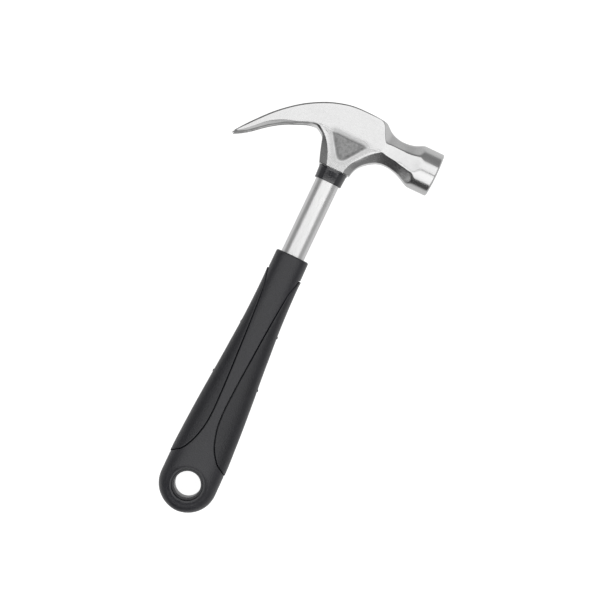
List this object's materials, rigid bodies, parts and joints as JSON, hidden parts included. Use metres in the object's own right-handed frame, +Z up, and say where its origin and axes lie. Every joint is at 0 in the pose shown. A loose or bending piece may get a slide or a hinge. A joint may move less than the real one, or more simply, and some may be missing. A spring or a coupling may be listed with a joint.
{
  "type": "claw hammer",
  "caption": "Claw hammer: forged head with round bell and curved split claw, tubular steel handle, black collar and moulded grip with a hang hole.",
  "frame": {"origin": "bottom centre of the hammer's box, as it lies on its side", "axes": "+Y along the handle towards the head, +X towards the striking face, +Z up across the head's thickness"},
  "size_m": [0.1318, 0.2858, 0.0291],
  "materials": {
    "polished_steel": "belt-polished forging, satin",
    "satin_tube": "satin bright plated tube",
    "plug_steel": "plain turned steel",
    "plug_plastic": "plain moulded",
    "gloss_black": "glossy black moulding",
    "grip_hard": "matte black, fine moulded grain",
    "grip_soft": "matte black soft moulding, fine grain"
  },
  "bodies": {
    "root": {"head": "polished_steel", "handle_tube": "satin_tube", "expansion_plug": "plug_steel", "tube_end_plug": "plug_plastic", "collar_ring": "gloss_black", "grip_core": "grip_hard", "front_pad": "grip_soft", "rear_pad": "grip_soft"}
  },
  "joints": []
}
